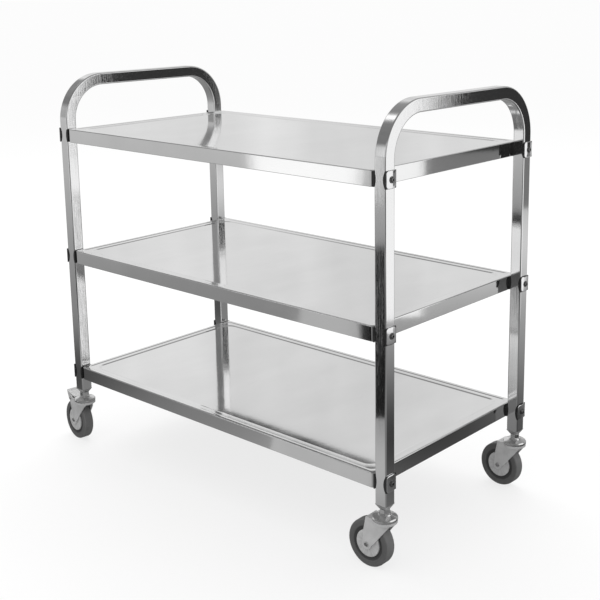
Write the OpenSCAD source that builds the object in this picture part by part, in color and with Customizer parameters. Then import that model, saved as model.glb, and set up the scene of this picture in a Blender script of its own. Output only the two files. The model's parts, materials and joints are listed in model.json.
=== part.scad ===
// Three-shelf stainless service trolley, knock-down type, on four swivel castors.
// Millimetres. X runs along the trolley, Y across it, Z up; the floor is Z = 0.
// The castors are shown trailing towards -X, as after a push towards +X.

/* [Shelves] */
// Length of a shelf, the way it lies between the two end frames
shelf_length = 950; // [600:10:1200]
// Width of a shelf, flush with the outside of the legs
shelf_width = 500; // [350:10:700]
// Height of the lowest shelf's rim over the floor
first_shelf = 205; // [180:5:300]
// Rise from one shelf to the next
shelf_pitch = 300; // [220:5:360]
// Depth of the folded-down edges
apron = 32; // [25:1:50]
// Sheet thickness
sheet = 1; // [0.8:0.1:1.5]
// Width of the raised rim round the panel
rim = 24; // [15:1:40]
// Drop from the rim to the panel
dish = 3; // [2:0.5:6]

/* [End frames] */
// Side of the square tube
tube = 28; // [20:1:32]
// Tube wall
wall = 1.2; // [1:0.1:2]
// Outside radius of the handle bends
bend = 110; // [80:5:150]
// Height of the top of the handles
handle_top = 932; // [850:1:1000]
// Height of the cut end of the legs
leg_end = 142; // [140:1:170]

/* [Castors] */
// Wheel diameter
wheel_d = 100; // [75:5:125]
// Wheel width
wheel_w = 25; // [20:1:32]
// Distance from swivel axis to axle
trail = 34; // [25:1:40]
// Swivel of the front left castor away from straight trailing
turn_fl = -7; // [-180:1:180]
// Swivel of the front right castor
turn_fr = 1; // [-180:1:180]
// Swivel of the rear left castor
turn_rl = 4; // [-180:1:180]
// Swivel of the rear right castor
turn_rr = -1; // [-180:1:180]

/* [Hidden] */
$fn = 64;
// Joint of leg and shelf: saddle backs, lips and reach, then plate, bolt and nut
inner_pad = 2.5;
outer_pad = 1.5;
lip = 1.5;
inner_reach = 3.5;
outer_reach = 5.5;
inner_saddle_h = 30;
outer_saddle_h = 34;
plate = 2.4;
plate_bulge_r = 62;
bolt_r = 3;
bolt_head_r = 6.8;
hole_r = 3.3;
nut_h = 5;
shelf_corner_r = 8;
panel_corner_r = 26;
return_fold = 12;
inner_x = shelf_length / 2 + inner_pad;
outer_x = inner_x + tube;
leg_x = inner_x + tube / 2;
leg_y = shelf_width / 2 - tube / 2;
bolt_drop = apron / 2;
levels = [first_shelf, first_shelf + shelf_pitch, first_shelf + 2 * shelf_pitch];
tyre_r = wheel_d / 2;
// Castor: heights of the crown, cup and nut, then radii and half widths
crown_z = 109;
crown_t = 2.5;
crown_r = 25.5;
crown_rim = 5.5;
cup_z = 122;
plug_z = 132;
stem_r = 6;
stem_low = 98;
cup_r = 26;
race_r = 18;
ball_r = 2.3;
cheek_y = 17;
back_x = -36;
fold_x = -16;
nose_r = 14.5;
nose_x = 10;
sleeve_r = 6;
rivet_r = 4;
rivet_head_r = 5.6;
rivet_hole_r = 3.2;
hub_r = 28.5;
rim_r = 31;
shoulder_r = 3;
fit = 0.06;

// Brake: pivot, width over the pedal's sides and swept gap over the tyre
brake_x = -44;
brake_z = 106;
brake_pin_r = 3;
pedal_y = 14.2;
pedal_t = 1.2;
shoe_gap = 4.5;

// Shapes drawn in the flat

module rounded(a, b, r)
{
    square([a - 2 * r, b], center = true);
    square([a, b - 2 * r], center = true);
    for (x = [-1, 1], y = [-1, 1])
        translate([x * (a / 2 - r), y * (b / 2 - r)]) circle(r);
}

module tube_section()
{
    difference() {
        rounded(tube, tube, 3.2);
        rounded(tube - 2 * wall, tube - 2 * wall, 2);
    }
}

module hexagon(flats)
{
    circle(r = flats / sqrt(3), $fn = 6);
}

// Repeats at the twelve places where a leg is bolted to a shelf.
// The child is drawn for the rear right corner, with the bolt axis along X
// at the origin and the origin on the swivel line of the leg.
module at_joints()
{
    for (z = levels, sx = [0, 1], sy = [0, 1])
        translate([0, 0, z - bolt_drop]) mirror([sx, 0, 0]) mirror([0, sy, 0])
            translate([leg_x, leg_y, 0]) children();
}

module at_legs()
{
    for (sx = [-1, 1], sy = [-1, 1])
        translate([sx * leg_x, sy * leg_y, 0]) children();
}

// End frames: one continuous bent square tube each

module end_frame()
{
    color("silver") difference() {
        union() {
            for (s = [-1, 1])
                translate([leg_x, s * leg_y, leg_end])
                    linear_extrude(handle_top - bend - leg_end) tube_section();
            for (s = [0, 1])
                mirror([0, s, 0])
                    translate([leg_x, shelf_width / 2 - bend, handle_top - bend])
                        rotate([90, 0, 90]) rotate_extrude(angle = 90)
                            translate([bend - tube / 2, 0]) tube_section();
            translate([leg_x, shelf_width / 2 - bend, handle_top - tube / 2])
                rotate([90, 0, 0]) linear_extrude(shelf_width - 2 * bend) tube_section();
        }
        for (z = levels, s = [-1, 1])
            translate([leg_x - tube, s * leg_y, z - bolt_drop])
                rotate([0, 90, 0]) cylinder(r = hole_r, h = 2 * tube);
    }
}

module left_end_frame() { mirror([1, 0, 0]) end_frame(); }
module right_end_frame() { end_frame(); }

// Shelves: one sheet with a raised rim, dished panel, folded edges and a
// return fold along the bottom of the edges

module shelf(z)
{
    inner_l = shelf_length - 2 * rim;
    inner_w = shelf_width - 2 * rim;
    color("gainsboro") difference() {
        translate([0, 0, z]) {
            translate([0, 0, -apron]) linear_extrude(apron) difference() {
                rounded(shelf_length, shelf_width, shelf_corner_r);
                rounded(shelf_length - 2 * sheet, shelf_width - 2 * sheet, shelf_corner_r - sheet);
            }
            translate([0, 0, -sheet]) linear_extrude(sheet) difference() {
                rounded(shelf_length, shelf_width, shelf_corner_r);
                rounded(inner_l, inner_w, panel_corner_r);
            }
            translate([0, 0, -dish - sheet]) linear_extrude(dish + sheet) difference() {
                rounded(inner_l + 2 * sheet, inner_w + 2 * sheet, panel_corner_r + sheet);
                rounded(inner_l, inner_w, panel_corner_r);
            }
            translate([0, 0, -dish - sheet]) linear_extrude(sheet)
                rounded(inner_l + 2 * sheet, inner_w + 2 * sheet, panel_corner_r + sheet);
            translate([0, 0, -apron]) linear_extrude(sheet) difference() {
                rounded(shelf_length, shelf_width, shelf_corner_r);
                rounded(shelf_length - 2 * return_fold, shelf_width - 2 * return_fold, 2);
            }
        }
        for (sx = [-1, 1], sy = [-1, 1])
            translate([sx * shelf_length / 2 - 5, sy * leg_y, z - bolt_drop])
                rotate([0, 90, 0]) cylinder(r = hole_r, h = 10);
    }
}

module bottom_shelf() { shelf(levels[0]); }
module middle_shelf() { shelf(levels[1]); }
module top_shelf() { shelf(levels[2]); }

// Black plastic saddles that hold the tube on both sides of a shelf bolt. Their
// lips reach round the tube, and run out in a curve above and below.

module saddle(back, reach, height, edge_r)
{
    difference() {
        intersection() {
            translate([tube / 2 - reach, -tube / 2 - lip, -height / 2])
                cube([reach + back, tube + 2 * lip, height]);
            translate([tube / 2 - reach + edge_r, tube, 0])
                rotate([90, 0, 0]) cylinder(r = edge_r, h = 2 * tube);
        }
        translate([-tube / 2, -tube / 2, -height]) cube([tube, tube, 2 * height]);
        rotate([0, 90, 0]) cylinder(r = hole_r, h = tube);
    }
}

module inner_saddles()
{
    color("black") at_joints() mirror([1, 0, 0])
        saddle(inner_pad, inner_reach, inner_saddle_h, 40);
}

module outer_saddles()
{
    color("black") at_joints() saddle(outer_pad, outer_reach, outer_saddle_h, 32);
}

// Plates pressed in a shallow curve across the tube
module corner_plates()
{
    face = tube / 2 + outer_pad;
    color("silver") at_joints() intersection() {
        translate([face, 0, 0]) rotate([90, 0, 90]) linear_extrude(plate)
            difference() {
                rounded(tube, outer_saddle_h, 6);
                circle(hole_r);
            }
        translate([face + plate - plate_bulge_r, 0, -outer_saddle_h])
            cylinder(r = plate_bulge_r, h = 2 * outer_saddle_h);
    }
}

// Bolts with a flanged button head and a hexagon socket
module shelf_bolts()
{
    shank = tube / 2 + inner_pad + sheet + nut_h + 2;
    face = tube / 2 + outer_pad + plate;
    color("dimgray") at_joints() {
        translate([-shank, 0, 0])
            rotate([0, 90, 0]) cylinder(r = bolt_r, h = face + shank);
        difference() {
            translate([face, 0, 0]) rotate([0, 90, 0]) {
                cylinder(r = bolt_head_r, h = 0.9);
                cylinder(r1 = 5.25, r2 = 3.8, h = 3.3);
            }
            translate([face + 1.3, 0, 0])
                rotate([0, 90, 0]) linear_extrude(4) hexagon(4);
        }
    }
}

module shelf_nuts()
{
    color("silver") at_joints()
        translate([-tube / 2 - inner_pad - sheet - nut_h, 0, 0]) rotate([0, 90, 0])
            linear_extrude(nut_h) difference() {
                hexagon(10);
                circle(bolt_r);
            }
}

// Foot of each leg: plug, stem, nut and swivel cup stay with the leg

module leg_plugs()
{
    color("dimgray") at_legs() difference() {
        union() {
            translate([0, 0, leg_end]) linear_extrude(25)
                rounded(tube - 2 * wall - 0.2, tube - 2 * wall - 0.2, 1.9);
            translate([0, 0, plug_z]) rotate([0, 0, 45])
                cylinder(r1 = 8 * sqrt(2), r2 = tube / sqrt(2), h = leg_end - plug_z, $fn = 4);
        }
        translate([0, 0, plug_z - 1]) cylinder(r = stem_r, h = 60);
    }
}

module castor_stems()
{
    color("silver") at_legs() {
        translate([0, 0, stem_low]) cylinder(r = stem_r, h = 77);
        translate([0, 0, stem_low]) cylinder(r = 9.5, h = 5.6);
    }
}

module stem_nuts()
{
    color("silver") at_legs() translate([0, 0, cup_z]) linear_extrude(plug_z - cup_z) difference() {
        hexagon(19);
        circle(stem_r);
    }
}

module swivel_cups()
{
    skirt = crown_z + 0.8;
    race = crown_z + 2 * ball_r + 0.7;
    color("silver") at_legs() rotate_extrude()
        polygon([[stem_r, cup_z], [12, cup_z], [14, cup_z - 2.5], [20, cup_z - 4.5],
            [cup_r - 1.6, 116], [cup_r, 113.5], [cup_r, skirt], [cup_r - 1.8, skirt],
            [cup_r - 1.8, 112.5], [cup_r - 3.6, race], [10.5, race], [10.5, crown_z + 2.8],
            [stem_r, crown_z + 2.8]]);
}

// Castor pieces, drawn with the stem on the Z axis and the wheel trailing to -X

module castor(c)
{
    translate([c[1] * leg_x, c[2] * leg_y, 0]) rotate([0, 0, c[3]]) children();
}

// Side outline of the fork's cheeks: a front edge cut back to the axle boss
module fork_side()
{
    translate([-trail, tyre_r]) circle(11);
    polygon([[nose_x + nose_r + 1, crown_z], [nose_x + nose_r, crown_z - 1.5], [fold_x - 1, 54],
        [-trail + 3, tyre_r - 10], [-trail - 10, tyre_r + 4], [-42, 78],
        [back_x - 0.5, 104], [back_x, crown_z]]);
}

// Plan of the fork: straight cheeks, a fold, then a round nose; inset by t
module fork_plan(t)
{
    translate([nose_x, 0]) circle(nose_r - t);
    polygon([[-70, t - cheek_y], [fold_x, t - cheek_y], [nose_x, t - nose_r],
        [nose_x, nose_r - t], [fold_x, cheek_y - t], [-70, cheek_y - t]]);
}

// Ears at the back of a braked fork, which carry the pivot pin
module brake_ears()
{
    for (s = [0, 1])
        mirror([0, s, 0]) translate([0, cheek_y, 0]) rotate([90, 0, 0]) linear_extrude(crown_t) {
            translate([brake_x, brake_z]) circle(6);
            polygon([[back_x, crown_z], [brake_x, brake_z + 6], [brake_x - 6, brake_z],
                [-42.5, 80], [back_x, 80]]);
        }
}

module fork(brake = false)
{
    inside = cheek_y - crown_t;
    color("lightgray") difference() {
        union() {
            difference() {
                intersection() {
                    linear_extrude(crown_z) fork_plan(0);
                    rotate([90, 0, 0]) translate([0, 0, -30]) linear_extrude(60) fork_side();
                }
                translate([0, 0, -1]) linear_extrude(crown_z - crown_t + 1) fork_plan(crown_t);
                translate([-100, -inside, 60]) cube([100 + back_x, 2 * inside, 80]);
            }
            translate([0, 0, crown_z - crown_rim]) difference() {
                cylinder(r = crown_r, h = crown_rim);
                translate([0, 0, -1]) cylinder(r = crown_r - 2, h = crown_rim - crown_t + 1);
            }
            translate([0, 0, crown_z - 5]) cylinder(r = 10, h = 7);
            if (brake) brake_ears();
        }
        translate([0, 0, 90]) cylinder(r = stem_r + fit, h = 40);
        translate([-trail, 40, tyre_r]) rotate([90, 0, 0]) cylinder(r = rivet_r, h = 80);
        if (brake)
            translate([brake_x, 40, brake_z]) rotate([90, 0, 0]) cylinder(r = brake_pin_r, h = 80);
    }
}

module ball_ring()
{
    color("gray") {
        translate([0, 0, crown_z]) difference() {
            cylinder(r = race_r + 3, h = 1.4);
            translate([0, 0, -1]) cylinder(r = race_r - 3, h = 4);
        }
        for (k = [0:15])
            rotate([0, 0, k * 22.5]) translate([race_r, 0, crown_z + ball_r]) sphere(r = ball_r);
    }
}

module on_axle()
{
    translate([-trail, 0, tyre_r]) rotate([90, 0, 0]) children();
}

module axle_sleeve()
{
    inside = cheek_y - crown_t;
    color("silver") on_axle() translate([0, 0, -inside]) linear_extrude(2 * inside) difference() {
        circle(sleeve_r);
        circle(rivet_r);
    }
}

// The axle itself: a tubular rivet with a rolled head on each side
module axle_rivet()
{
    color("silver") on_axle() difference() {
        union() {
            translate([0, 0, -cheek_y - 2.2]) cylinder(r = rivet_r, h = 2 * cheek_y + 4.4);
            for (s = [0, 1])
                mirror([0, 0, s]) {
                    translate([0, 0, cheek_y]) cylinder(r = rivet_head_r, h = 1);
                    translate([0, 0, cheek_y + 1]) cylinder(r1 = rivet_head_r, r2 = 4.2, h = 1.2);
                }
        }
        for (s = [0, 1])
            mirror([0, 0, s]) translate([0, 0, cheek_y - 6]) cylinder(r = rivet_hole_r, h = 10);
    }
}

module hub()
{
    seat = wheel_w / 2 - 4;
    face = 13.6;
    boss = 14;
    color("lightgray") on_axle() rotate_extrude()
        polygon([[sleeve_r + fit, -boss], [10, -boss], [11, -face], [hub_r - 2, -face],
            [hub_r, -face + 1.2], [hub_r, -seat], [rim_r, -seat], [rim_r, seat], [hub_r, seat],
            [hub_r, face - 1.2], [hub_r - 2, face], [11, face], [10, boss],
            [sleeve_r + fit, boss]]);
}

// Tyre: sunk next to the hub, full width further out, round shoulders
module tyre()
{
    seat = wheel_w / 2 - 4;
    sunk = wheel_w / 2 - 2.5;
    half = wheel_w / 2;
    flank = tyre_r - shoulder_r;
    color("gray") on_axle() rotate_extrude() {
        polygon([[hub_r, -seat], [hub_r, -sunk], [rim_r + 1, -sunk], [rim_r + 5.5, -half],
            [flank, -half], [flank, half], [rim_r + 5.5, half], [rim_r + 1, sunk], [hub_r, sunk],
            [hub_r, seat], [rim_r, seat], [rim_r, -seat]]);
        translate([flank - 1, -half + shoulder_r]) square([shoulder_r + 1, wheel_w - 2 * shoulder_r]);
        for (s = [-1, 1])
            translate([flank, s * (half - shoulder_r)]) circle(shoulder_r);
    }
}

// Foot brake of the two left castors: pedal, shoe and pivot pin

module brake_pin()
{
    color("silver") translate([brake_x, 18.5, brake_z]) rotate([90, 0, 0])
        cylinder(r = brake_pin_r, h = 37);
}

module brake_pedal()
{
    color("lightgray") {
        translate([0, pedal_y, 0]) rotate([90, 0, 0]) linear_extrude(2 * pedal_y)
            polygon([[-27.6, 112.16], [-60, 117.2], [-65.5, 120.4], [-67, 122.6], [-59.6, 119.2],
                [-27.6, 114.16]]);
        for (s = [0, 1])
            mirror([0, s, 0]) translate([0, pedal_y, 0]) rotate([90, 0, 0]) linear_extrude(pedal_t)
                difference() {
                    polygon([[-38.6, 114.6], [-60, 118], [-66, 121.3], [-65, 117], [-58, 101],
                        [-53, 96], [-44, 95], [-39.5, 99]]);
                    translate([brake_x, brake_z]) circle(brake_pin_r + 0.05);
                }
    }
}

module brake_shoe()
{
    color("dimgray") difference() {
        translate([-59.5, pedal_t - pedal_y, 96])
            cube([8, 2 * (pedal_y - pedal_t), 21.2]);
        translate([-trail, 30, tyre_r]) rotate([90, 0, 0]) cylinder(r = tyre_r + shoe_gap, h = 60);
        translate([-60, -20, 117.2]) rotate([0, 8.84, 0]) translate([-5, 0, 0]) cube([60, 40, 20]);
    }
}

// The four castors: name, side along X, side along Y, swivel and brake

castors = [
    ["front_left", -1, -1, turn_fl, true],
    ["front_right", 1, -1, turn_fr, false],
    ["rear_left", -1, 1, turn_rl, true],
    ["rear_right", 1, 1, turn_rr, false]
];

left_end_frame();
right_end_frame();
top_shelf();
middle_shelf();
bottom_shelf();
inner_saddles();
outer_saddles();
corner_plates();
shelf_bolts();
shelf_nuts();
leg_plugs();
castor_stems();
stem_nuts();
swivel_cups();
for (c = castors) {
    castor(c) fork(c[4]);
    castor(c) ball_ring();
    castor(c) axle_sleeve();
    castor(c) axle_rivet();
    castor(c) hub();
    castor(c) tyre();
    if (c[4]) {
        castor(c) brake_pin();
        castor(c) brake_pedal();
        castor(c) brake_shoe();
    }
}
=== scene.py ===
"""The looks of a polished steel service trolley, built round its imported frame."""
import json
import math

import bmesh
import bpy
from mathutils import Matrix, Vector


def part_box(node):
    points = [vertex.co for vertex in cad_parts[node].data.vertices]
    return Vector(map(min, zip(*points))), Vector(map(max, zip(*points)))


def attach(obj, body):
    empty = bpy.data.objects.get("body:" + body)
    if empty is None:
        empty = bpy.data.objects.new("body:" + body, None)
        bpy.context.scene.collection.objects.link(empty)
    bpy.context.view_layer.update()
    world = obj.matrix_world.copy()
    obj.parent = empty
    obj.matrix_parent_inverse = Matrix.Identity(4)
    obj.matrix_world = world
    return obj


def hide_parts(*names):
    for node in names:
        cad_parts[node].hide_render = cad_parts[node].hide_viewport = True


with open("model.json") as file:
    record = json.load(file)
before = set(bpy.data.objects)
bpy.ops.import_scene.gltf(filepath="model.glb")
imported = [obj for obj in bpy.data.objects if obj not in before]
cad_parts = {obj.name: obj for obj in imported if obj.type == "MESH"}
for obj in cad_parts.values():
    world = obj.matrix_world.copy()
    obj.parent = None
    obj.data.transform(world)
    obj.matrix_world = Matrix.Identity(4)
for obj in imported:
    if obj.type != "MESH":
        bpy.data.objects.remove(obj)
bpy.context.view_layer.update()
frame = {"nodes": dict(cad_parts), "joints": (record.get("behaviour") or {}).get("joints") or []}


# ---------------------------------------------------------------- view, floor and light
# The trolley stands on a plain pale floor and is seen from its front right corner, from
# a little above the top shelf. The polished steel lives from what it mirrors, so the
# studio is bright at the back and right, and darker on the near side.

EYE = Vector((1.7322, -1.7634, 1.1385))
YAW, PITCH, ROLL = math.radians(40.411), math.radians(-11.718), math.radians(-0.343)
SENSOR = 36
FOCAL_SHARE = 1.8065  # focal length over sensor width
SHIFT_ACROSS, SHIFT_UP = -0.10, -0.15
PALE = (0.98, 0.98, 0.98, 1)
PALE_LEVEL = PALE[0]

# Greys of the mirrored studio by compass bearing, as shares of a turn from due west.
WALL_GREYS = [
    (0.0, 0.80), (0.07, 0.62), (0.11, 0.30), (0.125, 0.30), (0.15, 0.95), (0.17, 0.95),
    (0.195, 0.42), (0.29, 0.38), (0.37, 0.42), (0.41, 0.46), (0.485, 0.52), (0.53, 0.98),
    (0.625, 0.98), (0.65, 0.60), (0.71, 0.45), (0.79, 0.42), (0.82, 0.70), (0.95, 0.80),
    (1.0, 0.78),
]
WALL_TOPS = [
    (0.0, 0.34), (0.14, 0.33), (0.19, 0.50), (0.50, 0.50), (0.78, 0.64), (0.94, 0.64), (1.0, 0.34),
]
WALL_FADE = 9  # how quickly a wall gives way to the ceiling
CEILING, CEILING_RISE = 0.16, 0.10
LAMP_EAST, LAMP_NORTH = -0.62, -0.10
LAMP_SPREAD, LAMP_GREY = 0.009, 1.2
DRAPE_LOW, DRAPE_SWING = 0.76, 0.48

# Painted shade on the floor that only the polished steel sees, darkest near the trolley: greys of the
# mirrored floor by distance from the trolley, as shares of FLOOR_REACH.
FLOOR_SIZE = 90
FLOOR_REACH = 8.0
PAINTED_FLOOR_SHADE = [(0.0, 0.22), (0.125, 0.24), (0.25, 0.27), (0.40, 0.38), (0.60, 0.50), (1.0, 0.56)]
# Painted shade and painted light on the mirrored floor. Each patch: how much it darkens or brightens,
# its centre and its spread.
PAINTED_DARK_PATCHES = (
    (0.85, (0.85, 0.35), (0.42, 0.50)),
    (0.80, (-1.00, -0.45), (0.40, 0.35)),
    (0.75, (1.7, -1.5), (1.0, 0.9)),
)
PAINTED_BRIGHT_PATCHES = ((0.60, (2.5, 1.9), (1.1, 1.0)), (0.25, (0.20, -0.62), (0.30, 0.25)))
FLOOR_GLOW = 0.76  # share of the floor's light that is its own
BOUNCE_CUT = 0.65  # how much less of it reaches other pieces

# Each card: name, place, heights above the floor, and grey. Only polished steel sees them.
RIGHT_REAR = (1.41, 1.15)
STANDING_CARDS = (
    ("dark_card_rear", RIGHT_REAR, (1.02, 1.69), 0.58, 1.10, 0.035),
    ("grey_card_rear", RIGHT_REAR, (1.02, 1.69), 0.38, 0.58, 0.20),
    ("dark_card_near", (1.35, -2.95), (2.80, -1.68), 0.0, 0.80, 0.02),
    ("white_card_right", RIGHT_REAR, (2.90, -0.30), 0.0, 2.0, 1.02),
    ("white_card_left", (-1.78, -2.86), (-2.30, -2.60), 0.05, 0.70, 1.10),
)
LYING_CARDS = (
    ("dark_mat", ((-0.045, -0.805), (-1.31, -2.295), (-0.51, -2.92), (0.72, -1.40)), 0.004, 0.012),
    ("light_mat", ((0.31, -0.43), (-0.91, -1.90), (-1.10, -1.74), (0.12, -0.27)), 0.003, 0.48),
)


class Socket:
    """A shader socket that takes part in plain expressions."""

    def __init__(self, tree, socket):
        self.tree = tree
        self.socket = socket

    def _maths(self, operation, first, second=None):
        node = self.tree.nodes.new("ShaderNodeMath")
        node.operation = operation
        for place, value in enumerate((first, second)):
            if isinstance(value, Socket):
                self.tree.links.new(value.socket, node.inputs[place])
            elif value is not None:
                node.inputs[place].default_value = value
        return Socket(self.tree, node.outputs[0])

    def __add__(self, other):
        return self._maths("ADD", self, other)

    def __radd__(self, other):
        return self._maths("ADD", other, self)

    def __sub__(self, other):
        return self._maths("SUBTRACT", self, other)

    def __rsub__(self, other):
        return self._maths("SUBTRACT", other, self)

    def __mul__(self, other):
        return self._maths("MULTIPLY", self, other)

    def __rmul__(self, other):
        return self._maths("MULTIPLY", other, self)

    def __truediv__(self, other):
        return self._maths("DIVIDE", self, other)

    def __pow__(self, other):
        return self._maths("POWER", self, other)

    def at_least(self, other):
        return self._maths("MAXIMUM", self, other)

    def at_most(self, other):
        return self._maths("MINIMUM", self, other)

    def below(self, other):
        return self._maths("LESS_THAN", self, other)

    def turn_from(self, other):
        return self._maths("ARCTAN2", self, other)

    def grown(self):
        return self._maths("EXPONENT", self)


class Recipe:
    """Builds one node tree: a node from its type, settings and inputs, in one call."""

    def __init__(self, tree, family="ShaderNode"):
        self.tree = tree
        self.family = family
        tree.nodes.clear()

    def node(self, kind, settings=None, output=0, **inputs):
        made = self.tree.nodes.new(kind if "Node" in kind else self.family + kind)
        for name, value in (settings or {}).items():
            if name == "stops":
                ramp = made.color_ramp
                while len(ramp.elements) > 1:
                    ramp.elements.remove(ramp.elements[-1])
                for n, (place, grey) in enumerate(value):
                    stop = ramp.elements[0] if n == 0 else ramp.elements.new(place)
                    stop.position = place
                    stop.color = (grey, grey, grey, 1)
            else:
                setattr(made, name, value)
        for name, value in inputs.items():
            place = int(name[1:]) if name[0] == "_" and name[1:].isdigit() else name.replace("_", " ")
            socket = made.inputs[place]
            if isinstance(value, Socket):
                self.tree.links.new(value.socket, socket)
            else:
                socket.default_value = value
        return Socket(self.tree, made.outputs[output])


def studio():
    world = bpy.data.worlds.new("studio")
    bpy.context.scene.world = world
    world.use_nodes = True
    s = Recipe(world.node_tree)
    direction = s.node("TexCoord", output=0)
    east = s.node("SeparateXYZ", output=0, Vector=direction)
    north = s.node("SeparateXYZ", output=1, Vector=direction)
    height = s.node("SeparateXYZ", output=2, Vector=direction)
    bearing = north.turn_from(east) / (2 * math.pi) + 0.5
    walls = s.node("ValToRGB", {"stops": WALL_GREYS}, Fac=bearing)
    top = s.node("ValToRGB", {"stops": WALL_TOPS}, Fac=bearing)
    wall_share = ((top - height) * WALL_FADE).at_least(0).at_most(1)
    lamp_east = east - LAMP_EAST
    lamp_north = north - LAMP_NORTH
    lamp_lean = lamp_east * lamp_east + lamp_north * lamp_north
    lamp = (-1 * lamp_lean / LAMP_SPREAD).grown()
    ceiling = CEILING + CEILING_RISE * (north + 1) + LAMP_GREY * lamp
    drape = s.node("Mapping", Vector=direction, Scale=(14, 14, 3))
    folds = s.node("TexNoise", Vector=drape, Scale=1.0, Detail=3.0)
    plain = walls * wall_share + ceiling * (1 - wall_share)
    mirrored = plain * (DRAPE_LOW + DRAPE_SWING * folds)
    glossy = s.node("LightPath", output=3)
    level = glossy * mirrored + (1 - glossy) * PALE_LEVEL
    colour = s.node("CombineColor", Red=level, Green=level, Blue=level)
    out = s.node("Background", Color=colour, Strength=1.0)
    final = world.node_tree.nodes.new("ShaderNodeOutputWorld")
    world.node_tree.links.new(out.socket, final.inputs[0])


def patch(spot, along, centre, spread):
    """A soft round patch on the floor: one at its centre, falling to nothing."""
    over = (spot - centre[0]) / spread[0]
    up = (along - centre[1]) / spread[1]
    return (-1 * (over * over + up * up)).grown()


def floor():
    bpy.ops.mesh.primitive_circle_add(vertices=96, radius=FLOOR_SIZE, fill_type="NGON")
    ground = bpy.context.object
    ground.name = "floor"
    material = bpy.data.materials.new("floor_paint")
    material.use_nodes = True
    s = Recipe(material.node_tree)
    place = s.node("TexCoord", output=3)
    spot = s.node("SeparateXYZ", output=0, Vector=place)
    along = s.node("SeparateXYZ", output=1, Vector=place)
    away = (spot * spot + along * along) ** 0.5
    # Painted shade: glossy rays see this glowing grey, darker near the trolley, in place of the pale
    # paint.
    painted_floor_reflection = s.node("ValToRGB", {"stops": PAINTED_FLOOR_SHADE}, Fac=away / FLOOR_REACH)
    # Painted dark and bright patches, seen only in reflections of the floor.
    for cut, centre, spread in PAINTED_DARK_PATCHES:
        painted_floor_reflection = painted_floor_reflection * (1 - cut * patch(spot, along, centre, spread))
    for gain, centre, spread in PAINTED_BRIGHT_PATCHES:
        painted_floor_reflection = painted_floor_reflection + gain * patch(spot, along, centre, spread)
    paint = s.node("BsdfDiffuse", Color=PALE)
    lighting = s.node("LightPath", output=2)
    bounce = s.node("Emission", Color=PALE, Strength=1 - BOUNCE_CUT * lighting)
    lit = s.node("MixShader", _0=FLOOR_GLOW, _1=paint, _2=bounce)
    shown = s.node("Emission", Strength=painted_floor_reflection)
    glossy = s.node("LightPath", output=3)
    mixed = s.node("MixShader", _0=glossy, _1=lit, _2=shown)
    final = material.node_tree.nodes.new("ShaderNodeOutputMaterial")
    material.node_tree.links.new(mixed.socket, final.inputs[0])
    ground.data.materials.append(material)


def card(name, corners, grey):
    """A flat card that only the polished steel sees, as a studio uses to give it contrast."""
    sheet = bpy.data.meshes.new(name)
    sheet.from_pydata(corners, [], [(0, 1, 2, 3)])
    material = bpy.data.materials.new(name)
    material.use_nodes = True
    s = Recipe(material.node_tree)
    shown = s.node("Emission", Color=(grey, grey, grey, 1), Strength=1.0)
    final = material.node_tree.nodes.new("ShaderNodeOutputMaterial")
    material.node_tree.links.new(shown.socket, final.inputs[0])
    sheet.materials.append(material)
    board = bpy.data.objects.new(name, sheet)
    bpy.context.scene.collection.objects.link(board)
    board.visible_camera = False
    board.visible_diffuse = False
    board.visible_shadow = False
    board.visible_transmission = False


def standing_card(name, start, end, low, top, grey):
    corners = [(*start, low), (*end, low), (*end, top), (*start, top)]
    card(name, corners, grey)


def lying_card(name, outline, height, grey):
    card(name, [(*point, height) for point in outline], grey)


def softbox(name, place, target, size, power):
    light = bpy.data.lights.new(name, "AREA")
    light.shape = "RECTANGLE"
    light.size, light.size_y = size
    light.energy = power
    lamp = bpy.data.objects.new(name, light)
    lamp.location = place
    lamp.rotation_euler = (Vector(target) - Vector(place)).to_track_quat("-Z", "Y").to_euler()
    lamp.visible_glossy = False
    bpy.context.scene.collection.objects.link(lamp)


def viewpoint():
    lens = bpy.data.cameras.new("view")
    lens.sensor_width = SENSOR
    lens.lens = SENSOR * FOCAL_SHARE
    lens.shift_x = SHIFT_ACROSS
    lens.shift_y = SHIFT_UP
    lens.clip_end = 300
    camera = bpy.data.objects.new("view", lens)
    turn = Matrix.Rotation(YAW, 4, "Z") @ Matrix.Rotation(math.pi / 2 + PITCH, 4, "X")
    camera.matrix_world = Matrix.Translation(EYE) @ turn @ Matrix.Rotation(ROLL, 4, "Z")
    bpy.context.scene.collection.objects.link(camera)
    bpy.context.scene.camera = camera


studio()
floor()
for facts in STANDING_CARDS:
    standing_card(*facts)
for facts in LYING_CARDS:
    lying_card(*facts)
softbox("key", (-1.5, 1.5, 4.0), (0, 0, 0.4), (4.0, 3.0), 90)
viewpoint()
bpy.context.scene.view_settings.view_transform = "Standard"


# ---------------------------------------------------------------- end frames
# Each end is one length of square stainless tube, bent twice to make both legs and the
# handle, then buffed to a mirror. Buffing leaves faint lines along the tube.

TUBE = 0.028
TUBE_CORNER = 0.0032
BEND = 0.110
BEND_STEPS, TUBE_CORNER_STEPS = 64, 7


def rounded_outline(half_a, half_b, radius, steps):
    """Points round a rectangle with round corners, counterclockwise."""
    points = []
    for quarter in range(4):
        sign_a = (1, -1, -1, 1)[quarter]
        sign_b = (1, 1, -1, -1)[quarter]
        for step in range(steps + 1):
            angle = (quarter + step / steps) * math.pi / 2
            points.append((
                sign_a * (half_a - radius) + radius * math.cos(angle),
                sign_b * (half_b - radius) + radius * math.sin(angle),
            ))
    return points


def skin_rings(mesh, rings):
    """Joins rings of the same number of points with faces, in order."""
    rows = [[mesh.verts.new(point) for point in ring] for ring in rings]
    count = len(rows[0])
    for lower, upper in zip(rows, rows[1:]):
        for n in range(count):
            mesh.faces.new((lower[n], lower[(n + 1) % count], upper[(n + 1) % count], upper[n]))
    return rows


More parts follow.
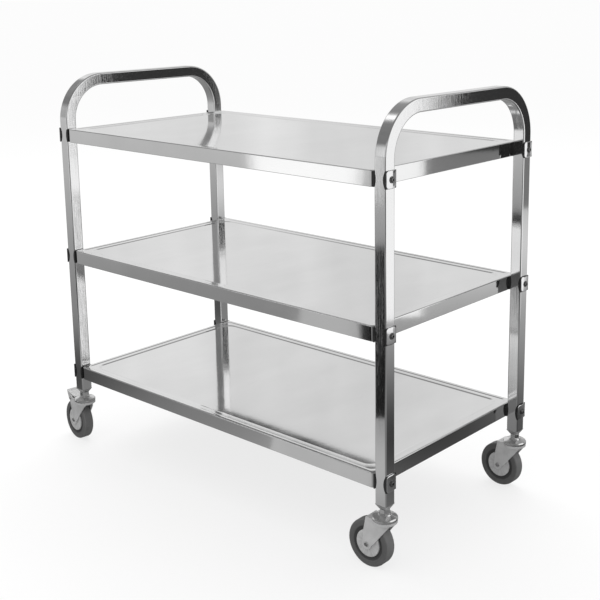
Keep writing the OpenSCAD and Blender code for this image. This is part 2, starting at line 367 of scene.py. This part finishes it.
def finish_mesh(mesh, name, material, sharp=35, edge=0.0):
    """Makes a piece of the mesh. Bends over sharp degrees stay crisp, or are eased by edge."""
    bmesh.ops.recalc_face_normals(mesh, faces=mesh.faces)
    data = bpy.data.meshes.new(name)
    mesh.to_mesh(data)
    mesh.free()
    data.materials.append(material)
    piece = bpy.data.objects.new(name, data)
    bpy.context.scene.collection.objects.link(piece)
    data.shade_smooth()
    data.set_sharp_from_angle(angle=math.radians(sharp))
    if edge:
        ease = piece.modifiers.new("eased_edges", "BEVEL")
        ease.width = edge
        ease.segments = 2
        ease.limit_method = "ANGLE"
        ease.angle_limit = math.radians(sharp)
        ease.use_clamp_overlap = True
    flat = piece.modifiers.new("flat_faces_stay_flat", "WEIGHTED_NORMAL")
    flat.keep_sharp = True
    flat.weight = 90
    return piece


def surface(name, build):
    """A new material; build takes its Recipe and gives the Principled inputs."""
    material = bpy.data.materials.new(name)
    material.use_nodes = True
    s = Recipe(material.node_tree)
    look = s.node("BsdfPrincipled", **build(s))
    final = material.node_tree.nodes.new("ShaderNodeOutputMaterial")
    material.node_tree.links.new(look.socket, final.inputs[0])
    return material


def polished_tube_look(s):
    where = s.node("TexCoord", output=3)
    lines = s.node("Mapping", Vector=where, Scale=(900, 900, 14))
    streaks = s.node("TexNoise", Vector=lines, Scale=1.0, Detail=3.0)
    wander = s.node("TexNoise", Vector=where, Scale=7.0, Detail=1.0)
    marks = s.node("TexNoise", Vector=where, Scale=60.0, Detail=4.0)
    relief = s.node("Bump", Height=streaks * 0.25 + wander, Strength=0.06, Distance=0.004)
    return {
        "Base Color": (0.84, 0.84, 0.842, 1),
        "Metallic": 1.0,
        "Roughness": 0.03 + 0.05 * streaks + 0.03 * marks,
        "Normal": relief,
    }


tube_finish = surface("polished_tube", polished_tube_look)


def made_by_nodes(name, start, recipe, sizes, finish):
    """Runs a new Geometry Nodes tree on the start mesh or curve and keeps the plain mesh."""
    tree = bpy.data.node_groups.new(name, "GeometryNodeTree")
    r = Recipe(tree, "GeometryNode")
    tree.interface.new_socket("Geometry", in_out="INPUT", socket_type="NodeSocketGeometry")
    tree.interface.new_socket("Geometry", in_out="OUTPUT", socket_type="NodeSocketGeometry")
    kinds = {float: "NodeSocketFloat", int: "NodeSocketInt"}
    for label, size in sizes.items():
        tree.interface.new_socket(label, in_out="INPUT", socket_type=kinds[type(size)])
    given = tree.nodes.new("NodeGroupInput")
    named = {socket.name: Socket(tree, socket) for socket in given.outputs if socket.name}
    shape = r.node("RealizeInstances", Geometry=recipe(r, named))
    dressed = r.node("SetMaterial", Geometry=shape, Material=finish)
    result = tree.nodes.new("NodeGroupOutput")
    tree.links.new(dressed.socket, result.inputs[0])
    holder = bpy.data.objects.new(name + "_start", start)
    bpy.context.scene.collection.objects.link(holder)
    modifier = holder.modifiers.new(name, "NODES")
    modifier.node_group = tree
    for item in tree.interface.items_tree:
        if item.in_out == "INPUT" and item.name in sizes:
            modifier[item.identifier] = sizes[item.name]
    bpy.context.view_layer.update()
    evaluated = holder.evaluated_get(bpy.context.evaluated_depsgraph_get())
    mesh = bmesh.new()
    mesh.from_mesh(bpy.data.meshes.new_from_object(evaluated))
    holder.modifiers.remove(modifier)
    bpy.data.objects.remove(holder)
    bmesh.ops.remove_doubles(mesh, verts=mesh.verts, dist=1e-6)
    return mesh


def bent_tube(r, size):
    """Rounds the corners of the bare path and sweeps the round-cornered square along it."""
    centre_line = r.node(
        "FilletCurve", {"mode": "POLY"}, Curve=size["Geometry"],
        Radius=size["Bend"] - size["Tube"] * 0.5, Count=size["Bend Steps"],
    )
    square = r.node("CurvePrimitiveQuadrilateral", _0=size["Tube"], _1=size["Tube"])
    section = r.node(
        "FilletCurve", {"mode": "POLY"}, Curve=square,
        Radius=size["Tube Corner"], Count=size["Corner Steps"],
    )
    return r.node("CurveToMesh", Curve=centre_line, Profile_Curve=section, Fill_Caps=True)


def bare_path(name, x, low, top, side):
    """The four turning points of the tube's centre line, as an open curve."""
    path = bpy.data.curves.new(name, "CURVE")
    path.dimensions = "3D"
    line = path.splines.new("POLY")
    line.points.add(3)
    for point, (y, z) in zip(line.points, ((-side, low), (-side, top), (side, top), (side, low))):
        point.co = (x, y, z, 1)
    return path


def end_frame(node):
    low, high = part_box(node)
    path = bare_path(
        node + "_path", (low.x + high.x) / 2, low.z, high.z - TUBE / 2, high.y - TUBE / 2
    )
    sizes = {
        "Tube": TUBE, "Tube Corner": TUBE_CORNER, "Bend": BEND,
        "Bend Steps": BEND_STEPS, "Corner Steps": TUBE_CORNER_STEPS,
    }
    mesh = made_by_nodes(node + "_bends", path, bent_tube, sizes, tube_finish)
    piece = finish_mesh(mesh, node + "_tube", tube_finish)
    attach(piece, "frame")
    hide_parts(node)


for node in ("left_end_frame", "right_end_frame"):
    end_frame(node)


# ---------------------------------------------------------------- shelves
# A shelf is one bright sheet: a panel pressed down in two shallow steps inside a rim,
# and edges folded down and turned in along the bottom. Thin sheet never lies quite
# flat, so its mirror wavers.

SHEET = 0.001
SHELF_DEPTH = 0.032
SHELF_CORNER = 0.008
SHELF_CORNER_STEPS = 8
RIM_BEND, RIM_STEPS = 0.0022, 6
FOOT_BEND, FOOT_STEPS = 0.0012, 4
TURNED_IN = 0.012
PANEL_DROP = 0.003
INNER_CORNER = 0.007


def polished_sheet_look(s):
    where = s.node("TexCoord", output=3)
    sag = s.node("TexNoise", Vector=where, Scale=3.5, Detail=1.0)
    ripple = s.node("TexNoise", Vector=where, Scale=24.0, Detail=2.0)
    wipe = s.node("Mapping", Vector=where, Scale=(9, 4, 9))
    smear = s.node("TexNoise", Vector=wipe, Scale=1.0, Detail=6.0)
    relief = s.node("Bump", Height=sag + ripple * 0.08, Strength=0.16, Distance=0.005)
    tone = s.node("ValToRGB", {"stops": [(0.3, 0.84), (0.7, 0.90)]}, Fac=smear)
    return {
        "Base Color": tone,
        "Metallic": 1.0,
        "Roughness": 0.04 + 0.06 * smear,
        "Normal": relief,
    }


sheet_finish = surface("polished_sheet", polished_sheet_look)


def shelf_section():
    """Inset from the edge, height from the rim and corner radius, from the panel out,
    down the fold, in along its turned edge and back under the panel."""
    over = [
        (0.0290, -PANEL_DROP, 0.0240), (0.0272, -PANEL_DROP, 0.0255), (0.0262, -0.0029, 0.0260),
        (0.0226, -0.00155, 0.0260), (0.0216, -0.0014, 0.0255), (0.0122, -0.0013, 0.0160),
        (0.0112, -0.0012, 0.0150), (0.0090, -0.00025, 0.0120), (0.0080, -0.0001, 0.0110),
        (0.0040, 0.0, 0.0085),
    ]
    for step in range(RIM_STEPS + 1):
        angle = step / RIM_STEPS * math.pi / 2
        inset = RIM_BEND * (1 - math.sin(angle))
        drop = -RIM_BEND * (1 - math.cos(angle))
        over.append((inset, drop, SHELF_CORNER))
    for step in range(FOOT_STEPS + 1):
        angle = step / FOOT_STEPS * math.pi / 2
        inset = FOOT_BEND * (1 - math.cos(angle))
        drop = -SHELF_DEPTH + FOOT_BEND * (1 - math.sin(angle))
        over.append((inset, drop, SHELF_CORNER))
    under = [
        (TURNED_IN, -SHELF_DEPTH, 0.002), (TURNED_IN, -SHELF_DEPTH + SHEET, 0.002),
        (SHEET, -SHELF_DEPTH + SHEET, INNER_CORNER), (SHEET, -0.0030, INNER_CORNER),
        (0.0030, -SHEET, INNER_CORNER), (0.0145, -0.0011 - SHEET, 0.020),
        (0.0310, -PANEL_DROP - SHEET, 0.020),
    ]
    return over + under


def shelf(node):
    low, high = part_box(node)
    half_l, half_w = (high.x - low.x) / 2, (high.y - low.y) / 2
    rings = []
    for inset, drop, radius in shelf_section():
        outline = rounded_outline(half_l - inset, half_w - inset, radius, SHELF_CORNER_STEPS)
        rings.append([(x, y, high.z + drop) for x, y in outline])
    mesh = bmesh.new()
    rows = skin_rings(mesh, rings)
    mesh.faces.new(rows[0])
    mesh.faces.new(rows[-1])
    piece = finish_mesh(mesh, node + "_sheet", sheet_finish, 28)
    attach(piece, "frame")
    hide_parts(node)


for node in ("top_shelf", "middle_shelf", "bottom_shelf"):
    shelf(node)


# ---------------------------------------------------------------- saddles
# Each leg is held off the shelf by a black moulded nylon saddle on its inner side, and
# sits in a second one under the plate outside. Lips on both hug the tube.

SADDLE_EDGE = 0.0004
CREASE = 30  # degrees over which an edge of a CAD solid is eased
FLAT_WITHIN = 0.4  # degrees under which neighbouring faces are one
CAD_MERGE = 2e-6


def black_nylon_look(s):
    where = s.node("TexCoord", output=3)
    grain = s.node("TexNoise", Vector=where, Scale=1400.0, Detail=2.0)
    scuff = s.node("TexNoise", Vector=where, Scale=90.0, Detail=4.0)
    relief = s.node("Bump", Height=grain, Strength=0.15, Distance=0.0002)
    tone = s.node("ValToRGB", {"stops": [(0.35, 0.008), (0.75, 0.022)]}, Fac=scuff)
    return {"Base Color": tone, "Roughness": 0.30 + 0.16 * scuff, "Normal": relief}


black_nylon = surface("black_nylon", black_nylon_look)


def softened(node, ending, body, finish, edge):
    """A CAD solid with its points merged, its flat faces made whole and its edges eased."""
    mesh = bmesh.new()
    mesh.from_mesh(frame["nodes"][node].data)
    bmesh.ops.remove_doubles(mesh, verts=mesh.verts, dist=CAD_MERGE)
    bmesh.ops.dissolve_limit(
        mesh, angle_limit=math.radians(FLAT_WITHIN), verts=mesh.verts, edges=mesh.edges
    )
    piece = finish_mesh(mesh, node + ending, finish, CREASE, edge)
    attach(piece, body)
    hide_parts(node)


for node in ("inner_saddles", "outer_saddles"):
    softened(node, "_moulded", "frame", black_nylon, SADDLE_EDGE)


# ---------------------------------------------------------------- corner plates
# A bright pressed plate covers each outer saddle, slightly pillowed, with a rolled rim
# and a hole for the bolt. One is pressed here and set at all twelve joints.

PLATE_HALF_W, PLATE_HALF_H = 0.014, 0.017
PLATE_CORNER = 0.006
PLATE_HOLE = 0.0033
PLATE_BACK = TUBE / 2 + 0.0015
PLATE_THICK = 0.0024
PLATE_FALL_W, PLATE_FALL_H = 0.0016, 0.0004
SPIN_STEPS = 48
# Each ring on a plate's face: its share of the way from the hole to the rim, and its drop.
PLATE_RINGS = (
    (0.0, 0.0), (0.04, 0.0), (0.3, 0.0), (0.6, 0.0), (0.85, 0.0), (0.94, 0.00008),
    (0.98, 0.0003), (1.0, 0.0006),
)
BOLT_DROP = 0.016  # how far the bolts sit below a shelf's rim


def bright_plate_look(s):
    where = s.node("TexCoord", output=3)
    sag = s.node("TexNoise", Vector=where, Scale=120.0, Detail=1.0)
    wear = s.node("TexNoise", Vector=where, Scale=600.0, Detail=3.0)
    relief = s.node("Bump", Height=sag, Strength=0.08, Distance=0.001)
    return {
        "Base Color": (0.83, 0.83, 0.835, 1),
        "Metallic": 1.0,
        "Roughness": 0.07 + 0.06 * wear,
        "Normal": relief,
    }


bright_plate = surface("bright_plate", bright_plate_look)


def along_outline(outline, angle):
    """The point of a star-shaped outline that lies in one direction from its middle."""
    way = (math.cos(angle), math.sin(angle))
    best = None
    for (ax, ay), (bx, by) in zip(outline, outline[1:] + outline[:1]):
        cross = (bx - ax) * way[1] - (by - ay) * way[0]
        if abs(cross) < 1e-12:
            continue
        share = (ay * way[0] - ax * way[1]) / cross
        reach = (ax + share * (bx - ax)) * way[0] + (ay + share * (by - ay)) * way[1]
        if -1e-9 <= share <= 1 + 1e-9 and reach > 0 and (best is None or reach > best):
            best = reach
    return way[0] * best, way[1] * best


def one_plate():
    """One plate at the middle of the frame, facing along X, as rings from hole to rim."""
    corners = rounded_outline(PLATE_HALF_W, PLATE_HALF_H, PLATE_CORNER, 8)
    angles = [2 * math.pi * n / SPIN_STEPS for n in range(SPIN_STEPS)]

    def crown(y, z):
        across = PLATE_FALL_W * (y / PLATE_HALF_W) ** 2
        upward = PLATE_FALL_H * (z / PLATE_HALF_H) ** 2
        return PLATE_BACK + PLATE_THICK - across - upward

    def ring_at(share):
        ring = []
        for angle in angles:
            rim = along_outline(corners, angle)
            y = PLATE_HOLE * math.cos(angle) * (1 - share) + rim[0] * share
            z = PLATE_HOLE * math.sin(angle) * (1 - share) + rim[1] * share
            ring.append((y, z))
        return ring

    rings = []
    for share, drop in PLATE_RINGS:
        lowest = PLATE_BACK + 0.0001
        rings.append([(max(crown(y, z) - drop, lowest), y, z) for y, z in ring_at(share)])
    back = [[(PLATE_BACK, y, z) for y, z in ring_at(share)] for share in (1.0, 0.0)]
    mesh = bmesh.new()
    skin_rings(mesh, rings + back + rings[:1])
    bmesh.ops.remove_doubles(mesh, verts=mesh.verts, dist=1e-7)
    data = bpy.data.meshes.new("one_plate")
    mesh.to_mesh(data)
    mesh.free()
    return data


def set_at_joints(r, size):
    """Sets the start piece at the four legs on every shelf level, facing outwards."""
    legs = r.node("MeshGrid", _0=size["Between Ends"], _1=size["Between Sides"], _2=2, _3=2)
    first = r.node("ShaderNodeCombineXYZ", Z=size["First Level"])
    step = r.node("ShaderNodeCombineXYZ", Z=size["Level Step"])
    levels = r.node("MeshLine", Count=size["Levels"], Start_Location=first, Offset=step)
    posts = r.node("InstanceOnPoints", Points=levels, Instance=legs)
    joints = r.node("RealizeInstances", Geometry=posts)
    place = r.node("InputPosition")
    side = r.node("ShaderNodeSeparateXYZ", output=0, Vector=place)
    facing = r.node("ShaderNodeCombineXYZ", Z=side.below(0.0) * math.pi)
    return r.node("InstanceOnPoints", Points=joints, Instance=size["Geometry"], Rotation=facing)


def joint_sizes():
    low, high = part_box("right_end_frame")
    levels = [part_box(node)[1].z for node in ("bottom_shelf", "middle_shelf", "top_shelf")]
    return {
        "Between Ends": low.x + high.x,
        "Between Sides": high.y - low.y - TUBE,
        "First Level": levels[0] - BOLT_DROP,
        "Level Step": levels[1] - levels[0],
        "Levels": 3,
    }


def set_all_round(node, ending, start, finish):
    mesh = made_by_nodes(node + "_places", start, set_at_joints, joint_sizes(), finish)
    piece = finish_mesh(mesh, node + ending, finish, 40)
    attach(piece, "frame")
    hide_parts(node)


set_all_round("corner_plates", "_pressed", one_plate(), bright_plate)


# ---------------------------------------------------------------- bolts and nuts
# A dark flanged button-head bolt runs through plate, saddles, leg and shelf edge at each
# joint, to a plated nut inside the shelf edge. Cold-headed, with a hexagon socket.

BOLT_SHANK = 0.003
BOLT_FACE = PLATE_BACK + PLATE_THICK
BOLT_TIP = -0.0245
BOLT_EASE = 0.0004
# The flange and the domed head: radius, and height above the plate.
BOLT_HEAD = (
    (0.0065, 0.0), (0.0068, 0.0002), (0.0068, 0.0006), (0.0065, 0.0009), (0.0053, 0.00095),
    (0.0050, 0.0014), (0.0048, 0.0021), (0.0044, 0.0027), (0.0038, 0.0031), (0.0030, 0.0033),
)
# The hexagon socket: share of its half width, and height above the plate.
SOCKET_HALF = 0.002
SOCKET_RINGS = ((1.06, 0.0033), (1.0, 0.0031), (1.0, 0.0014), (0.5, 0.0013))


def dark_bolt_look(s):
    where = s.node("TexCoord", output=3)
    wear = s.node("TexNoise", Vector=where, Scale=500.0, Detail=4.0)
    tone = s.node("ValToRGB", {"stops": [(0.3, 0.12), (0.7, 0.26)]}, Fac=wear)
    return {"Base Color": tone, "Metallic": 1.0, "Roughness": 0.20 + 0.18 * wear}


def plated_look(s):
    where = s.node("TexCoord", output=3)
    cloud = s.node("TexNoise", Vector=where, Scale=55.0, Detail=4.0)
    grain = s.node("TexNoise", Vector=where, Scale=900.0, Detail=3.0)
    tone = s.node("ValToRGB", {"stops": [(0.3, 0.72), (0.7, 0.84)]}, Fac=cloud)
    relief = s.node("Bump", Height=grain * 0.4 + cloud, Strength=0.10, Distance=0.0006)
    return {
        "Base Color": tone,
        "Metallic": 1.0,
        "Roughness": 0.10 + 0.10 * cloud + 0.06 * grain,
        "Normal": relief,
    }


dark_bolt = surface("dark_bolt", dark_bolt_look)
plated_steel = surface("plated_steel", plated_look)


def one_bolt():
    """One bolt at the middle of the frame, facing along X, as rings from tip to socket."""
    profile = [
        (BOLT_SHANK - BOLT_EASE, BOLT_TIP), (BOLT_SHANK, BOLT_TIP + BOLT_EASE),
        (BOLT_SHANK, BOLT_FACE),
    ]
    profile += [(r, BOLT_FACE + rise) for r, rise in BOLT_HEAD]
    angles = [2 * math.pi * n / SPIN_STEPS for n in range(SPIN_STEPS)]
    rings = [[(x, r * math.cos(a), r * math.sin(a)) for a in angles] for r, x in profile]
    for grow, rise in SOCKET_RINGS:
        ring = []
        for angle in angles:
            lean = (angle + math.pi / 6) % (math.pi / 3) - math.pi / 6
            r = grow * SOCKET_HALF / math.cos(lean)
            ring.append((BOLT_FACE + rise, r * math.cos(angle), r * math.sin(angle)))
        rings.append(ring)
    mesh = bmesh.new()
    rows = skin_rings(mesh, rings)
    mesh.faces.new(rows[0])
    mesh.faces.new(rows[-1])
    data = bpy.data.meshes.new("one_bolt")
    mesh.to_mesh(data)
    mesh.free()
    return data


def dress(node, finish):
    """Gives a CAD node that stays its finish."""
    kept = frame["nodes"][node]
    if not kept.material_slots:
        kept.data.materials.append(finish)
    for place in kept.material_slots:
        place.material = finish


set_all_round("shelf_bolts", "_headed", one_bolt(), dark_bolt)
dress("shelf_nuts", plated_steel)


# ---------------------------------------------------------------- leg plugs and stems
# A tapered plug driven into each foot carries the castor's threaded stem, which hangs
# the swivel cup under a locking nut. Cast plug, turned and plated stem and nut.

def cast_plug_look(s):
    where = s.node("TexCoord", output=3)
    cloud = s.node("TexNoise", Vector=where, Scale=80.0, Detail=5.0)
    grain = s.node("TexNoise", Vector=where, Scale=1100.0, Detail=2.0)
    tone = s.node("ValToRGB", {"stops": [(0.3, 0.40), (0.7, 0.52)]}, Fac=cloud)
    relief = s.node("Bump", Height=grain, Strength=0.12, Distance=0.0003)
    return {"Base Color": tone, "Metallic": 0.6, "Roughness": 0.26 + 0.14 * cloud, "Normal": relief}


cast_plug = surface("cast_plug", cast_plug_look)
softened("leg_plugs", "_cast", "frame", cast_plug, 0.0005)
softened("stem_nuts", "_turned", "frame", plated_steel, 0.0004)
dress("castor_stems", plated_steel)


# ---------------------------------------------------------------- swivel cups
# The upper half of each castor's swivel: a cup pressed from sheet, plated bright, that
# hangs over the ball ring and does not turn.

softened("swivel_cups", "_pressed", "frame", plated_steel, 0.0003)


# ---------------------------------------------------------------- castor forks
# Each fork is folded from one plated sheet: a round crown with a hanging rim, two
# cheeks with a flared nose, and a tubular rivet for an axle. A ball ring sits on top.

CORNERS = ("front_left", "front_right", "rear_left", "rear_right")


def dull_plating_look(s):
    where = s.node("TexCoord", output=3)
    cloud = s.node("TexNoise", Vector=where, Scale=45.0, Detail=4.0)
    grain = s.node("TexNoise", Vector=where, Scale=800.0, Detail=3.0)
    tone = s.node("ValToRGB", {"stops": [(0.3, 0.66), (0.7, 0.78)]}, Fac=cloud)
    relief = s.node("Bump", Height=grain * 0.5 + cloud, Strength=0.12, Distance=0.0006)
    return {
        "Base Color": tone,
        "Metallic": 0.40,
        "Roughness": 0.26 + 0.14 * cloud + 0.06 * grain,
        "Normal": relief,
    }


dull_plating = surface("dull_plating", dull_plating_look)

for corner in CORNERS:
    body = corner + "_swivel"
    softened(corner + "_fork", "_folded", body, dull_plating, 0.0005)
    softened(corner + "_axle_rivet", "_headed", body, plated_steel, 0.0004)
    dress(corner + "_ball_ring", plated_steel)
    dress(corner + "_axle_sleeve", plated_steel)


# ---------------------------------------------------------------- wheels
# A light grey moulded hub turns on the sleeve, with faint flow marks round it, inside a
# grey rubber tyre sunk beside the hub and moulded in halves, painted darker as shade in the sunk ring
# and lighter on its tread.

WHEEL_STEPS = 128
WHEEL_RADIUS = 0.050
HUB_BORE = 0.00605


def hub_look(s):
    turn = s.node("TexCoord", output=2)
    marks = s.node("Mapping", Vector=turn, Scale=(26, 3, 1))
    flow = s.node("TexNoise", Vector=marks, Scale=1.0, Detail=3.0)
    where = s.node("TexCoord", output=3)
    grain = s.node("TexNoise", Vector=where, Scale=1200.0, Detail=2.0)
    tone = s.node("ValToRGB", {"stops": [(0.3, 0.44), (0.7, 0.58)]}, Fac=flow)
    relief = s.node("Bump", Height=flow + grain * 0.2, Strength=0.10, Distance=0.0008)
    return {"Base Color": tone, "Roughness": 0.32 + 0.12 * flow, "Normal": relief}


def tyre_look(s):
    turn = s.node("TexCoord", output=2)
    out = s.node("SeparateXYZ", output=1, Vector=turn)
    where = s.node("TexCoord", output=3)
    dust = s.node("TexNoise", Vector=where, Scale=70.0, Detail=5.0)
    grain = s.node("TexNoise", Vector=where, Scale=1500.0, Detail=2.0)
    rings = s.node("Mapping", Vector=turn, Scale=(3, 160, 1))
    wear = s.node("TexNoise", Vector=rings, Scale=1.0, Detail=2.0)
    # Painted shade: the grey by radius is darkest in the sunk ring beside the hub and lighter on the
    # tread; dust varies it at random.
    painted_shade_by_radius = s.node(
        "ValToRGB",
        {"stops": [(0.60, 0.045), (0.70, 0.05), (0.74, 0.105), (0.95, 0.115), (0.985, 0.155)]},
        Fac=out,
    )
    shade_and_dust = painted_shade_by_radius * (0.80 + 0.40 * dust)
    tone = s.node("CombineColor", Red=shade_and_dust, Green=shade_and_dust, Blue=shade_and_dust)
    relief = s.node("Bump", Height=wear * 0.5 + grain * 0.5, Strength=0.25, Distance=0.0003)
    return {"Base Color": tone, "Roughness": 0.52 + 0.25 * dust, "Normal": relief}


moulded_hub = surface("moulded_hub", hub_look)
grey_rubber = surface("grey_rubber", tyre_look)


def wheel_part(node, ending, body, profile, finish):
    """Spins a closed profile of radius and offset about the axle, with turn and radius as UV."""
    joint = next(j for j in frame["joints"] if j["child"] == body)
    centre, axle = Vector(joint["pos_m"]), Vector(joint["axis"]).normalized()
    ahead = axle.cross(Vector((0, 0, 1))).normalized()
    up = ahead.cross(axle)
    mesh = bmesh.new()
    rows = []
    for step in range(WHEEL_STEPS):
        angle = 2 * math.pi * step / WHEEL_STEPS
        spoke = ahead * math.cos(angle) + up * math.sin(angle)
        rows.append([mesh.verts.new(centre + spoke * r + axle * y) for r, y in profile])
    mapped = mesh.loops.layers.uv.new("turn")
    count = len(profile)
    for step in range(WHEEL_STEPS):
        first, second = rows[step], rows[(step + 1) % WHEEL_STEPS]
        for n in range(count):
            m = (n + 1) % count
            face = mesh.faces.new((first[n], second[n], second[m], first[m]))
            turns = (step, step + 1, step + 1, step)
            radii = (profile[n][0], profile[n][0], profile[m][0], profile[m][0])
            for loop, turn, radius in zip(face.loops, turns, radii):
                loop[mapped].uv = (turn / WHEEL_STEPS, radius / WHEEL_RADIUS)
    piece = finish_mesh(mesh, node + ending, finish, 32)
    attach(piece, body)
    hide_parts(node)


def both_sides(half):
    """A closed profile from its half on one side of the wheel."""
    return half + [(r, -y) for r, y in reversed(half)]


hub_half = [
    (HUB_BORE, 0.0137), (HUB_BORE + 0.0003, 0.0140), (0.0097, 0.0140), (0.0100, 0.01385),
    (0.0105, 0.0136), (0.0112, 0.0134), (0.0170, 0.0133), (0.0240, 0.01345), (0.0262, 0.0136),
    (0.0272, 0.0134), (0.0280, 0.0129), (0.02848, 0.0122), (0.0285, 0.0086), (0.0310, 0.0085),
]
tyre_half = [
    (0.0310, 0.0085), (0.02852, 0.0086), (0.02852, 0.0099), (0.0288, 0.0100), (0.0322, 0.0100),
    (0.0328, 0.0102), (0.0340, 0.0108), (0.0360, 0.0119), (0.0366, 0.01215), (0.0373, 0.01225),
    (0.0377, 0.0125), (0.0392, 0.0125), (0.0395, 0.0123), (0.0462, 0.0123), (0.0474, 0.0121),
    (0.0484, 0.0116), (0.0492, 0.0108), (0.0497, 0.0098), (WHEEL_RADIUS, 0.0086),
    (WHEEL_RADIUS, 0.0004),
]

for corner in CORNERS:
    body = corner + "_wheel"
    wheel_part(corner + "_hub", "_moulded", body, both_sides(hub_half), moulded_hub)
    wheel_part(corner + "_tyre", "_rubber", body, both_sides(tyre_half), grey_rubber)


# ---------------------------------------------------------------- foot brakes
# The two left castors have a plated pedal, pressed from sheet and pivoted on a pin
# through the fork's ears, with a hard black shoe under it that meets the tyre.

for corner in ("front_left", "rear_left"):
    softened(corner + "_brake_pedal", "_pressed", corner + "_pedal", dull_plating, 0.0004)
    dress(corner + "_brake_shoe", black_nylon)
    dress(corner + "_brake_pin", plated_steel)
